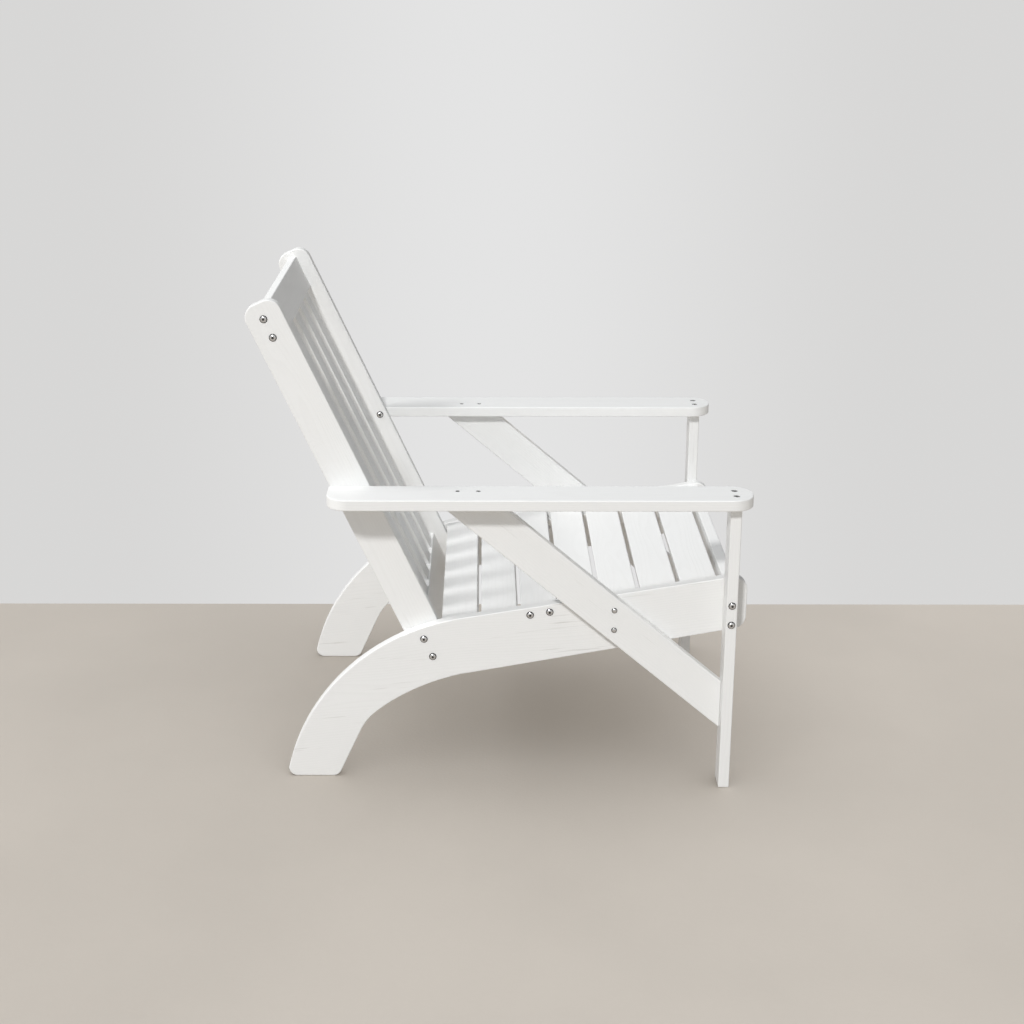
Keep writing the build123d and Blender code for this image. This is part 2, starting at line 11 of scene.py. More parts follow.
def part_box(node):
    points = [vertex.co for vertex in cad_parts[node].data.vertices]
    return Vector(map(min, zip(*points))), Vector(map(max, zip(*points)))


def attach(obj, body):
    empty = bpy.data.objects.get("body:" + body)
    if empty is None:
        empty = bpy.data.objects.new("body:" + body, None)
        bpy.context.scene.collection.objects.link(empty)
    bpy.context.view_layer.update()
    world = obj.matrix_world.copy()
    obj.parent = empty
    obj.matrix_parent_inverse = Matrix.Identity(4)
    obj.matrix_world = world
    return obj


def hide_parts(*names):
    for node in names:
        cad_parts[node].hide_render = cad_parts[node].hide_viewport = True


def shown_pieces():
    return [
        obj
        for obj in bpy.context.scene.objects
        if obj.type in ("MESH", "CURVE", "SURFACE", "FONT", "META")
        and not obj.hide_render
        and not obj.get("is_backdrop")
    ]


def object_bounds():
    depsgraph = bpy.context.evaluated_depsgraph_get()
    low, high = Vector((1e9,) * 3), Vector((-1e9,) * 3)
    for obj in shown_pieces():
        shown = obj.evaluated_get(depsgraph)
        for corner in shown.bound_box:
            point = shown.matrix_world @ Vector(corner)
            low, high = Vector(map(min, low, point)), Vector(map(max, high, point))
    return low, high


bl_info = {
    "name": "Adirondack chair",
    "version": (1, 0, 0),
    "blender": (4, 5, 0),
    "location": "3D View > Sidebar > Chair",
    "description": "Paints the boards of an adirondack chair, turns its fasteners and sets its stage",
    "category": "Object",
}

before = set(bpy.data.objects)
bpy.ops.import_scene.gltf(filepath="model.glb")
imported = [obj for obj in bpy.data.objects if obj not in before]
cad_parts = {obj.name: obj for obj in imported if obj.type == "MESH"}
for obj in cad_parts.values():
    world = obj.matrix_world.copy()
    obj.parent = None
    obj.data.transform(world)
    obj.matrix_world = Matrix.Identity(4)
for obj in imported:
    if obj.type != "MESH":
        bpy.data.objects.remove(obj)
cad_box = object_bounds()

BODY = "root"
SIDES = ("left", "right")
RIGHT_ANGLE = radians(90)

# How the boards lie: the way of the grain and the way that the broad face looks
SEAT_SLOPE = radians(9.37)
RAIL_GRAIN_SLOPE = radians(6.5)
BACK_LEAN = radians(24.8)
BRACE_ANGLE = radians(40.15)
ACROSS = Vector((0, 1, 0))
AHEAD = Vector((1, 0, 0))
UP = Vector((0, 0, 1))


def rising(angle):
    """Direction that goes ahead and rises by an angle."""
    return Vector((cos(angle), 0, sin(angle)))


SEAT_RUN = rising(SEAT_SLOPE)
SEAT_FACE = Vector((-sin(SEAT_SLOPE), 0, cos(SEAT_SLOPE)))
BACK_RUN = Vector((-sin(BACK_LEAN), 0, cos(BACK_LEAN)))
BACK_FACE = Vector((cos(BACK_LEAN), 0, sin(BACK_LEAN)))
BRACE_RUN = Vector((-cos(BRACE_ANGLE), 0, sin(BRACE_ANGLE)))

# Place of each board in its tree, in metres, which steps on from board to board
HEART_DEPTH = 0.035             # heart of the tree behind the middle of the board
HEART_DEPTH_STEP = 0.008
HEART_SIDE_STEP = 0.012
HEART_RUN_STEP = 0.13
KNOT_START = -0.3               # knot along the board
KNOT_STEP = 0.09
KNOT_SIDE_STEP = 0.011

# Grain: noises are drawn out along the board, and the shares are of the scale across it
SLOW_RUN = 0.16
FIBRE_RUN = 0.025
LINE_RUN = 0.035
WANDER_SCALE = 11
FIBRE_SCALE = 1300
LINE_SCALE = 330
PATCH_SCALE = 26
TONE_SCALE = 9
RING_WANDER = 0.05              # how far the rings stray from circles
KNOT_FLATTENING = (0.45, 1, 0)  # a knot is longer along the board
KNOT_RADIUS = 0.016
KNOT_SWELL = 0.022              # how far the rings bulge round a knot
RING_START = 0.35               # part of a ring where late wood starts
RING_END = 0.9                  # and where it ends
LINE_RANGE = (0.62, 0.72)       # part of the noise that makes dark lines
PATCH_RANGE = (0.54, 0.68)      # part of the noise that makes patches of them
FIBRE_HEIGHT = 0.6              # beside a ring's height
LINE_DEPTH = 1.5
CLOUD_RANGE = (0.3, 0.7)        # part of a noise that makes a cloudy tone
PAINT_CLOUDS = 0.035            # how far that tone shows in the paint
RAIL_OPEN_GRAIN = 1.0           # share of the dark lines on the side rails
BOARD_OPEN_GRAIN = 0.25         # and on the other boards

# Turned fasteners, in metres
ALONG_Y = 1
ALONG_Z = 2
SHANK_RADIUS = 0.003
HEAD_RIM = 0.001                # upright rim of a domed head
TIP_RADIUS = (0.96, 0.6)        # middle and end of a shank's tapered tip, as shares of the shank's radius
TIP_MIDDLE = 0.5                # middle of the tip from its end, likewise
SOCKET_LAND = 0.72              # radius of the flat round a socket, as a share of the socket's size
SOCKET_REACH = 0.6              # radius that a socket keeps within, likewise
DOME_STEPS = 6
PLAIN_DOME_STEPS = 9
PLAIN_DOME_FLAT = 0.08          # radius of the flat on a plain dome, as a share of the head's
SCREW_UNDERSIDE = 0.86          # radius under a screw's head, as a share of the head's
SCREW_EDGE = 0.4                # start of a screw head's upright edge, as a share of its height
EDGE_SOFTENING = 0.00022
SHARP_ANGLE = radians(35)
SAME_HEIGHT = 1e-6
FASTENER_REACH = 0.012          # points nearer than this across the shank are on one fastener
FIRST_TURN = 17                 # degrees by which the first fastener is turned
NEXT_TURN = 23                  # and each one after it

# Metals: least and most roughness
POLISHED = (0.16, 0.32)
DULLED = (0.4, 0.6)
ZINC_PLATED = (0.3, 0.5)
PLAIN_BRASS = (0.25, 0.45)
MARK_SCALE = 260
MARKED_SHARE = 0.8              # darkest tone of a marked metal
SCUFF_SCALE = 6                 # scuffs are finer than the tone by this much
SCUFF_RANGE = (0.35, 0.75)

# Stage, in metres
FLOOR_SIZE = (40, 40)
FLOOR_CLOUD_SCALE = 1.4
FLOOR_CLOUD_SHARE = 0.93        # darkest tone of the floor
FLOOR_GRIT_SCALE = 160
FLOOR_GRIT_DEPTH = 0.0004
FLOOR_ROUGHNESS = 0.75
FLOOR_GLOSS = 0.2
WALL_SIZE = (9, 4)
WALL_ROUGHNESS = 0.9
WALL_GLOSS = 0.1
SKY_HEIGHT = 3
SKY_TILT = radians(16)
SENSOR_WIDTH = 36               # millimetres

# Lamps: where each stands, the point that it looks at and its width
KEY_LAMP = ((-5.7, -15.6, 15.3), (0, 0, 0.45), 2.1)
SEAT_LAMP = ((-1.0, 0.15, 3.2), (0.1, 0, 0.35), 1.5)
REAR_LAMP = ((-4.05, -0.25, 4.75), (-0.05, 0, 0.35), 0.72)

# Places of the nodes in the editor
NODE_STEP = 200
SHADER_PLACE = 2100
OUTPUT_PLACE = 2400


class ChairPaint(PropertyGroup):
    """White paint on the boards and the grain that shows through it."""

    colour: FloatVectorProperty(
        name="Paint", description="Colour of the paint", subtype="COLOR", size=3, min=0, max=1,
        default=(0.866, 0.868, 0.860))
    thin_colour: FloatVectorProperty(
        name="Thin paint", description="Colour where the paint has sunk into open grain", subtype="COLOR",
        size=3, min=0, max=1, default=(0.42, 0.40, 0.37))
    smooth_roughness: FloatProperty(
        name="Least roughness", description="Roughness where the paint lies thick", min=0, max=1,
        default=0.38)
    dry_roughness: FloatProperty(
        name="Most roughness", description="Roughness where the paint lies thin", min=0, max=1,
        default=0.52)
    grain_depth: FloatProperty(
        name="Grain depth", description="Height of the raised grain under the paint", unit="LENGTH",
        precision=6, default=0.00007)
    ring_spacing: FloatProperty(
        name="Ring spacing", description="Distance between growth rings", unit="LENGTH", precision=4,
        default=0.0042)
    ring_tone: FloatProperty(
        name="Ring tone", description="How far the growth rings show as a tone", min=0, max=1, default=0.03)
    streak_tone: FloatProperty(
        name="Streak tone", description="How far open grain shows as dark lines", min=0, max=1, default=0.35)


class ChairFasteners(PropertyGroup):
    """Sizes and finish of the bolts and screws."""

    steel: FloatVectorProperty(
        name="Steel", description="Colour of the polished bolt heads", subtype="COLOR", size=3, min=0, max=1,
        default=(0.74, 0.74, 0.745))
    # Near-black steel painted into the sockets and onto the rims of the bolt heads: painted shade and
    # painted dark reflection
    dull_steel: FloatVectorProperty(
        name="Dull steel", description="Colour of the sockets and of the rims of the heads", subtype="COLOR",
        size=3, min=0, max=1, default=(0.06, 0.06, 0.06))
    # Darkened copy of the polished steel for the sunk screws: painted shade and painted dark reflection
    shaded_screw_steel: FloatVectorProperty(
        name="Screw steel", description="Colour of the screws sunk in the arms", subtype="COLOR", size=3,
        min=0, max=1, default=(0.26, 0.26, 0.262))
    # Outside this share of a head's radius, the rim is painted near-black as shade and dark reflection
    unshaded_share: FloatProperty(
        name="Bright part", description="Share of a head's radius that is polished bright", min=0, max=1,
        default=0.84)
    zinc: FloatVectorProperty(
        name="Zinc", description="Colour of the hidden nuts and screws", subtype="COLOR", size=3, min=0,
        max=1, default=(0.56, 0.57, 0.60))
    brass: FloatVectorProperty(
        name="Brass", description="Colour of the threaded inserts", subtype="COLOR", size=3, min=0, max=1,
        default=(0.66, 0.47, 0.18))
    head_height: FloatProperty(
        name="Bolt head height", description="Height of a domed socket head", unit="LENGTH", default=0.0038)
    brace_head_height: FloatProperty(
        name="Brace bolt head height", description="Height of a plain domed head", unit="LENGTH",
        default=0.0032)
    socket_size: FloatProperty(
        name="Socket", description="Hexagon socket across flats", unit="LENGTH", default=0.0040)
    socket_depth: FloatProperty(
        name="Socket depth", description="Depth of a hexagon socket", unit="LENGTH", default=0.0022)
    screw_head_height: FloatProperty(
        name="Screw head height", description="Height of a sunk screw head", unit="LENGTH", default=0.0035)
    facets: IntProperty(
        name="Facets", description="Facets round a turned piece", min=12, max=96, default=48)


class ChairStage(PropertyGroup):
    """Floor, wall, lamps and camera."""

    floor_colour: FloatVectorProperty(
        name="Floor", description="Colour of the floor", subtype="COLOR", size=3, min=0, max=1,
        default=(0.626, 0.572, 0.511))
    wall_colour: FloatVectorProperty(
        name="Wall", description="Colour of the wall", subtype="COLOR", size=3, min=0, max=1,
        default=(0.684, 0.680, 0.674))
    # Painted pool of light on the wall
    wall_glow: FloatVectorProperty(
        name="Lit wall", description="Colour of the wall in the pool of light behind the chair",
        subtype="COLOR", size=3, min=0, max=1, default=(0.775, 0.775, 0.775))
    glow_reach: FloatProperty(
        name="Reach of the pool", description="Distance at which the pool of light on the wall fades out",
        unit="LENGTH", default=0.95)
    wall_place: FloatProperty(
        name="Distance of the wall", description="Distance of the wall behind the middle of the chair",
        unit="LENGTH", default=0.567)
    key_power: FloatProperty(
        name="Key lamp", description="Power of the lamp on the camera's side", unit="POWER", default=2840)
    seat_power: FloatProperty(
        name="Seat lamp", description="Power of the soft lamp over the seat slats", unit="POWER", default=45)
    rear_power: FloatProperty(
        name="Rear lamp", description="Power of the lamp behind the chair's back", unit="POWER", default=115)
    floor_light: FloatProperty(
        name="Floor light", description="Strength of the wide light from above on the floor", min=0,
        default=2.08)
    floor_spread: FloatProperty(
        name="Spread of the floor light", description="Angle over which the light on the floor spreads",
        subtype="ANGLE", default=radians(125))
    room_left: FloatProperty(
        name="Light from behind", description="Strength of the light from behind the chair's back", min=0,
        default=0.31)
    room_camera: FloatProperty(
        name="Light from the camera's side", description="Strength of the light from the camera's side",
        min=0, default=0.535)
    room_height: FloatProperty(
        name="Height of the camera's light",
        description="Angle above level of the light from the camera's side", subtype="ANGLE",
        default=radians(35))
    room_wall: FloatProperty(
        name="Light from the wall", description="Strength of the light from the wall's side", min=0,
        default=0.18)
    room_colour: FloatVectorProperty(
        name="Colour of the soft light", description="Colour of the soft light from all sides",
        subtype="COLOR", size=3, min=0, max=1, default=(0.95, 0.978, 1.0))
    camera_place: FloatVectorProperty(
        name="Camera", description="Place of the camera", subtype="TRANSLATION", unit="LENGTH", size=3,
        default=(-0.0337, -3.0870, 1.4884))
    camera_pitch: FloatProperty(
        name="Camera pitch", description="How far the camera looks down", subtype="ANGLE",
        default=radians(17.239))
    camera_yaw: FloatProperty(
        name="Camera yaw", description="How far the camera turns to the left", subtype="ANGLE",
        default=radians(0.180))
    lens: FloatProperty(
        name="Lens", description="Focal length on a 36 mm sensor, in millimetres", default=58.454)
    shift: FloatVectorProperty(
        name="Shift", description="Shift of the camera's frame", size=2, default=(0.034, -0.05))


# Nodes
def add_node(tree, kind, inputs=None, **settings):
    """New node, with values or links for its inputs, to the right of the nodes before it."""
    node = tree.nodes.new(kind)
    node.location = (NODE_STEP * len(tree.nodes), 0)
    for name, value in settings.items():
        setattr(node, name, value)
    for name, value in (inputs or {}).items():
        if isinstance(value, NodeSocket):
            tree.links.new(value, node.inputs[name])
        else:
            node.inputs[name].default_value = value
    return node


def calc(tree, operation, *values):
    """Result of a math node."""
    return add_node(tree, "ShaderNodeMath", dict(enumerate(values)), operation=operation).outputs[0]


def ramp(tree, value, low, high, to_low=0.0, to_high=1.0):
    """Smooth step of a value from one range to another."""
    inputs = {"Value": value, "From Min": low, "From Max": high, "To Min": to_low, "To Max": to_high}
    return add_node(tree, "ShaderNodeMapRange", inputs, interpolation_type="SMOOTHSTEP").outputs["Result"]


def noise(tree, vector, scale, detail):
    """Value of a noise texture."""
    inputs = {"Vector": vector, "Scale": scale, "Detail": detail}
    return add_node(tree, "ShaderNodeTexNoise", inputs).outputs["Fac"]


def new_group(name, inputs, outputs):
    """Empty shader node group with named inputs and outputs, given as (name, socket type)."""
    group = bpy.data.node_groups.new(name, "ShaderNodeTree")
    for label, kind in inputs:
        group.interface.new_socket(label, in_out="INPUT", socket_type=kind)
    for label, kind in outputs:
        group.interface.new_socket(label, in_out="OUTPUT", socket_type=kind)
    return group, add_node(group, "NodeGroupInput")


def along_grain(tree, parts, share):
    """Vector drawn out along the board, so that a noise on it runs with the grain."""
    x, y, z = parts
    inputs = {"X": calc(tree, "MULTIPLY", x, share), "Y": y, "Z": z}
    return add_node(tree, "ShaderNodeCombineXYZ", inputs).outputs["Vector"]


def board_grain():
    """Group for the grain of a sawn board: X runs along it, and the heart of the tree is at Y and Z zero."""
    name = "Board grain"
    if name in bpy.data.node_groups:
        return bpy.data.node_groups[name]
    real, vector = "NodeSocketFloat", "NodeSocketVector"
    group, start = new_group(
        name, [("Vector", vector), ("Ring spacing", real), ("Knot", vector)],
        [("Relief", real), ("Rings", real), ("Streaks", real), ("Tone", real)])
    place = start.outputs["Vector"]
    parts = add_node(group, "ShaderNodeSeparateXYZ", {"Vector": place}).outputs
    slow = along_grain(group, parts, SLOW_RUN)
    stray = calc(group, "SUBTRACT", noise(group, slow, WANDER_SCALE, detail=2), 0.5)
    wander = calc(group, "MULTIPLY", stray, RING_WANDER)
    from_knot = add_node(
        group, "ShaderNodeVectorMath", {0: place, 1: start.outputs["Knot"]}, operation="SUBTRACT")
    flat_knot = add_node(
        group, "ShaderNodeVectorMath", {0: from_knot.outputs["Vector"], 1: KNOT_FLATTENING},
        operation="MULTIPLY")
    knot_distance = add_node(
        group, "ShaderNodeVectorMath", {0: flat_knot.outputs["Vector"]}, operation="LENGTH").outputs["Value"]
    swell = calc(group, "MULTIPLY", ramp(group, knot_distance, 0.0, KNOT_RADIUS, 1.0, 0.0), KNOT_SWELL)
    section = add_node(group, "ShaderNodeVectorMath", {0: place, 1: (0, 1, 1)}, operation="MULTIPLY")
    heart = add_node(group, "ShaderNodeVectorMath", {0: section.outputs["Vector"]}, operation="LENGTH")
    reach = calc(group, "ADD", calc(group, "ADD", heart.outputs["Value"], wander), swell)
    ring = calc(group, "FRACT", calc(group, "DIVIDE", reach, start.outputs["Ring spacing"]))
    late_wood = ramp(group, ring, RING_START, RING_END)
    rings = calc(group, "MULTIPLY", late_wood, ramp(group, ring, RING_END, 1.0, 1.0, 0.0))
    fibre = noise(group, along_grain(group, parts, FIBRE_RUN), FIBRE_SCALE, detail=1)
    scratch = noise(group, along_grain(group, parts, LINE_RUN), LINE_SCALE, detail=1)
    lines = ramp(group, scratch, *LINE_RANGE)
    patch = ramp(group, noise(group, slow, PATCH_SCALE, detail=1), *PATCH_RANGE)
    streaks = calc(group, "MULTIPLY", lines, patch)
    raised = calc(group, "ADD", rings, calc(group, "MULTIPLY", fibre, FIBRE_HEIGHT))
    relief = calc(group, "SUBTRACT", raised, calc(group, "MULTIPLY", streaks, LINE_DEPTH))
    tone = noise(group, slow, TONE_SCALE, detail=3)
    add_node(group, "NodeGroupOutput", {"Relief": relief, "Rings": rings, "Streaks": streaks, "Tone": tone})
    return group


def metal_marks():
    """Group for the fine marks of use on a metal surface."""
    name = "Metal marks"
    if name in bpy.data.node_groups:
        return bpy.data.node_groups[name]
    group, start = new_group(
        name, [("Vector", "NodeSocketVector"), ("Size", "NodeSocketFloat")],
        [("Scuffs", "NodeSocketFloat"), ("Tone", "NodeSocketFloat")])
    place = add_node(
        group, "ShaderNodeVectorMath", {0: start.outputs["Vector"], "Scale": start.outputs["Size"]},
        operation="SCALE").outputs["Vector"]
    scuffs = ramp(group, noise(group, place, SCUFF_SCALE, detail=4), *SCUFF_RANGE)
    tone = noise(group, place, 1, detail=2)
    add_node(group, "NodeGroupOutput", {"Scuffs": scuffs, "Tone": tone})
    return group


def new_material(name):
    """Empty node material and its Principled shader."""
    material = bpy.data.materials.new(name)
    material.use_nodes = True
    tree = material.node_tree
    tree.nodes.clear()
    shader = add_node(tree, "ShaderNodeBsdfPrincipled")
    output = add_node(tree, "ShaderNodeOutputMaterial", {"Surface": shader.outputs["BSDF"]})
    output.location = (OUTPUT_PLACE, 0)
    shader.location = (SHADER_PLACE, 0)
    return material, tree, shader


def opaque(colour):
    """Colour with full alpha."""
    return (*colour, 1.0)


def blended(tree, share, first, second):
    """Mix of two colours."""
    mix = add_node(tree, "ShaderNodeMix", data_type="RGBA")
    tree.links.new(share, mix.inputs["Factor"])
    # Sockets of the other data types have the same names, so the colours go by number
    mix.inputs[6].default_value = opaque(first)
    mix.inputs[7].default_value = opaque(second)
    return mix.outputs[2]


def board_paint(paint, node, run, face, order, open_grain):
    """White paint for one board, with grain along its run and its own place in the tree."""
    material, tree, shader = new_material("white_paint_" + node)
    low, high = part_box(node)
    side = face.cross(run)
    heart = (low + high) / 2 - face * (HEART_DEPTH + HEART_DEPTH_STEP * (order % 4))
    heart += side * (HEART_SIDE_STEP * (order % 5 - 2))
    heart += run * (HEART_RUN_STEP * (order % 7))
    turn = Matrix((run, side, face)).transposed().to_euler()
    place = add_node(tree, "ShaderNodeTexCoord").outputs["Object"]
    mapping = add_node(
        tree, "ShaderNodeMapping", {"Vector": place, "Location": heart, "Rotation": turn},
        vector_type="TEXTURE")
    knot = (KNOT_STEP * (order % 5) + KNOT_START, KNOT_SIDE_STEP * (order % 3 - 1), 0)
    grain = add_node(tree, "ShaderNodeGroup", node_tree=board_grain())
    tree.links.new(mapping.outputs["Vector"], grain.inputs["Vector"])
    grain.inputs["Ring spacing"].default_value = paint.ring_spacing
    grain.inputs["Knot"].default_value = knot
    made = grain.outputs
    dark = calc(tree, "ADD", calc(tree, "MULTIPLY", made["Rings"], paint.ring_tone),
                calc(tree, "MULTIPLY", made["Streaks"], paint.streak_tone * open_grain))
    share = calc(tree, "ADD", dark, ramp(tree, made["Tone"], *CLOUD_RANGE, 0.0, PAINT_CLOUDS))
    tree.links.new(blended(tree, share, paint.colour, paint.thin_colour), shader.inputs["Base Color"])
    dry = ramp(tree, made["Tone"], *CLOUD_RANGE, paint.smooth_roughness, paint.dry_roughness)
    tree.links.new(dry, shader.inputs["Roughness"])
    bump = add_node(tree, "ShaderNodeBump", {"Height": made["Relief"], "Distance": paint.grain_depth})
    tree.links.new(bump.outputs["Normal"], shader.inputs["Normal"])
    return material


def metal(name, colour, roughness):
    """Bare metal whose roughness, given as its least and most, and whose tone vary with fine marks."""
    if name in bpy.data.materials:
        return bpy.data.materials[name]
    material, tree, shader = new_material(name)
    place = add_node(tree, "ShaderNodeTexCoord").outputs["Object"]
    marks = add_node(tree, "ShaderNodeGroup", node_tree=metal_marks())
    tree.links.new(place, marks.inputs["Vector"])
    marks.inputs["Size"].default_value = MARK_SCALE
    darker = [MARKED_SHARE * part for part in colour]
    tree.links.new(blended(tree, marks.outputs["Tone"], colour, darker), shader.inputs["Base Color"])
    rough = ramp(tree, marks.outputs["Scuffs"], 0, 1, *roughness)
    tree.links.new(rough, shader.inputs["Roughness"])
    shader.inputs["Metallic"].default_value = 1.0
    return material


# Boards
def numbered(start):
    """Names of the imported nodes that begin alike, in order."""
    return sorted(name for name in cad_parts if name.startswith(start))


def paint_board(context, node, run, face, open_grain=BOARD_OPEN_GRAIN):
    """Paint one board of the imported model, with a share of the dark lines of open grain."""
    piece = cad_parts[node]
    order = sorted(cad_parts).index(node)
    material = board_paint(context.scene.chair_paint, node, run, face, order, open_grain)
    for material_slot in piece.material_slots:
        material_slot.material = material


class CHAIR_OT_side_rails(Operator):
    """Paint the side rails with their rear legs"""

    bl_idname = "chair.side_rails"
    bl_label = "Side rails"

    def execute(self, context):
        for side in SIDES:
            paint_board(context, "side_rail_" + side, rising(RAIL_GRAIN_SLOPE), ACROSS, RAIL_OPEN_GRAIN)
        return {"FINISHED"}


class CHAIR_OT_front_posts(Operator):
    """Paint the front posts"""

    bl_idname = "chair.front_posts"
    bl_label = "Front posts"

    def execute(self, context):
        for side in SIDES:
            paint_board(context, "front_post_" + side, UP, AHEAD)
        return {"FINISHED"}


class CHAIR_OT_braces(Operator):
    """Paint the diagonal braces"""

    bl_idname = "chair.braces"
    bl_label = "Braces"

    def execute(self, context):
        for side in SIDES:
            paint_board(context, "brace_" + side, BRACE_RUN, ACROSS)
        return {"FINISHED"}


class CHAIR_OT_armrests(Operator):
    """Paint the armrests"""

    bl_idname = "chair.armrests"
    bl_label = "Armrests"

    def execute(self, context):
        for side in SIDES:
            paint_board(context, "armrest_" + side, AHEAD, UP)
        return {"FINISHED"}


class CHAIR_OT_back_frame(Operator):
    """Paint the back posts, the header and the bottom rail"""

    bl_idname = "chair.back_frame"
    bl_label = "Back frame"

    def execute(self, context):
        for side in SIDES:
            paint_board(context, "back_post_" + side, BACK_RUN, ACROSS)
        for node in ("back_header", "back_bottom_rail"):
            paint_board(context, node, ACROSS, BACK_FACE)
        return {"FINISHED"}


class CHAIR_OT_back_slats(Operator):
    """Paint the upright slats of the back"""

    bl_idname = "chair.back_slats"
    bl_label = "Back slats"

    def execute(self, context):
        for node in numbered("back_slat_"):
            paint_board(context, node, BACK_RUN, BACK_FACE)
        return {"FINISHED"}


class CHAIR_OT_seat(Operator):
    """Paint the seat slats, their cleats and the front apron"""

    bl_idname = "chair.seat"
    bl_label = "Seat"

    def execute(self, context):
        for node in numbered("seat_slat_"):
            paint_board(context, node, ACROSS, SEAT_FACE)
        for side in SIDES:
            paint_board(context, "seat_cleat_" + side, SEAT_RUN, ACROSS)
        paint_board(context, "front_apron", ACROSS, AHEAD)
        return {"FINISHED"}


# Turned fasteners
def only(piece):
    """Select one object and make it active."""
    bpy.ops.object.select_all(action="DESELECT")
    piece.select_set(True)
    bpy.context.view_layer.objects.active = piece


def pick_faces(piece, chosen):
    """In edit mode, select only some of a piece's faces, given as true or false for each."""
    for part in (piece.data.vertices, piece.data.edges):
        for item in part:
            item.select = False
    for face, wanted in zip(piece.data.polygons, chosen):
        face.select = wanted
    bpy.ops.object.mode_set(mode="EDIT")
    bpy.ops.mesh.select_mode(type="FACE")


def pick_end(piece, top):
    """In edit mode, select only the flat end face at the top or the bottom of a turned piece."""
    bpy.ops.object.mode_set(mode="OBJECT")
    heights = [face.center.z for face in piece.data.polygons]
    wanted = max(heights) if top else min(heights)
    pick_faces(piece, [abs(height - wanted) < SAME_HEIGHT for height in heights])


def grow_end(piece, top, steps):
    """Extrude an end of a turned piece through (radius, height) steps."""
    pick_end(piece, top)
    bpy.ops.object.mode_set(mode="OBJECT")
    ends = [vertex.co for vertex in piece.data.vertices if vertex.select]
    radius = max(Vector((co.x, co.y)).length for co in ends)
    height = ends[0].z
    bpy.ops.object.mode_set(mode="EDIT")
    for new_radius, new_height in steps:
        bpy.ops.mesh.extrude_region_move(TRANSFORM_OT_translate={"value": (0, 0, new_height - height)})
        share = new_radius / radius
        bpy.ops.transform.resize(value=(share, share, 1), center_override=(0, 0, new_height))
        radius, height = new_radius, new_height
    bpy.ops.object.mode_set(mode="OBJECT")


def turned_shank(name, radius, length, facets):
    """Shank below Z zero with a tapered tip, the start of a bolt or screw."""
    bpy.ops.object.select_all(action="DESELECT")
    bpy.ops.mesh.primitive_cylinder_add(
        vertices=facets, radius=radius, depth=length - radius, location=(0, 0, (radius - length) / 2))
    piece = bpy.context.active_object
    piece.name = name
    bpy.ops.object.transform_apply(location=True)
    middle, end = TIP_RADIUS
    grow_end(piece, False, [(radius * middle, -length + radius * TIP_MIDDLE), (radius * end, -length)])
    return piece


def dome_steps(radius, rim, height, flat, count):
    """Steps up a domed head from its underside to a flat top of some radius."""
    sphere = (radius ** 2 - flat ** 2 + (height - rim) ** 2) / (2 * (height - rim))
    base = (sphere ** 2 - radius ** 2) ** 0.5 if sphere > radius else 0.0
    steps = [(radius, 0.0), (radius, rim)]
    for index in range(1, count + 1):
        step = radius + (flat - radius) * index / count
        rise = (sphere ** 2 - step ** 2) ** 0.5 if sphere > step else 0.0
        steps.append((step, rim + rise - base))
    scale = (height - rim) / (steps[-1][1] - rim)
    return steps[:2] + [(step, rim + (top - rim) * scale) for step, top in steps[2:]]


def cut_socket(piece, size, depth, top):
    """Cut a hexagon socket, given across its flats, into the top of a head."""
    bpy.ops.object.select_all(action="DESELECT")
    bpy.ops.mesh.primitive_cylinder_add(
        vertices=6, radius=size / 2 / cos(radians(30)), depth=2 * depth, location=(0, 0, top))
    cutter = bpy.context.active_object
    only(piece)
    cut = piece.modifiers.new("socket", "BOOLEAN")
    cut.object = cutter
    cut.operation = "DIFFERENCE"
    cut.solver = "EXACT"
    bpy.ops.object.modifier_apply(modifier=cut.name)
    bpy.data.objects.remove(cutter)


def soften(piece):
    """Soften the sharp edges of a turned piece and shade it."""
    only(piece)
    bevel = piece.modifiers.new("soft edges", "BEVEL")
    bevel.width = EDGE_SOFTENING
    bevel.segments = 2
    bevel.limit_method = "ANGLE"
    bevel.angle_limit = SHARP_ANGLE
    bpy.ops.object.modifier_apply(modifier=bevel.name)
    bpy.ops.object.shade_smooth_by_angle(angle=SHARP_ANGLE)


def is_socket(face, socket, top):
    """Whether a face lies inside the socket in a head's top."""
    return face.center.xy.length < socket and face.center.z < top - HEAD_RIM / 4


def finish_head(piece, socket, shade_rim_radius, bright, painted_shade):
    """Polish a bolt, and paint its socket and the rim of its head near-black as painted shade and painted
    dark reflection.
    """
    piece.data.materials.clear()
    piece.data.materials.append(bright)
    piece.data.materials.append(painted_shade)
    only(piece)
    top = max(vertex.co.z for vertex in piece.data.vertices)
    # Faces in the socket and on the outer rim take the near-black painted shade
    pick_faces(piece, [
        face.center.z > 0 and (is_socket(face, socket, top) or face.center.xy.length > shade_rim_radius)
        for face in piece.data.polygons])
    piece.active_material_index = 1
    bpy.ops.object.material_slot_assign()
    bpy.ops.object.mode_set(mode="OBJECT")


def fastener_places(node, axis):
    """Boxes of the separate fasteners of a node whose shanks lie along an axis, as (low, high)."""
    flat = [i for i in range(3) if i != axis]
    found = []
    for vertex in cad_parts[node].data.vertices:
        co = vertex.co
        for low, high in found:
            near = all(abs(co[i] - (low[i] + high[i]) / 2) < FASTENER_REACH for i in flat)
            if near and (low.y + high.y) * co.y > 0:
                for i in range(3):
                    low[i] = min(low[i], co[i])
                    high[i] = max(high[i], co[i])
                break
        else:
            found.append((co.copy(), co.copy()))
    return found


def seat_of(pattern, low, high, axis, inward):
    """Where the underside of a fastener's head sits on its board."""
    middle = (low + high) / 2
    head = max(vertex.co.z for vertex in pattern.data.vertices)
    if axis == ALONG_Z:
        return Vector((middle.x, middle.y, high.z - head))
    outer = middle.y > 0
    y = high.y - head if outer != inward else low.y + head
    return Vector((middle.x, y, middle.z))


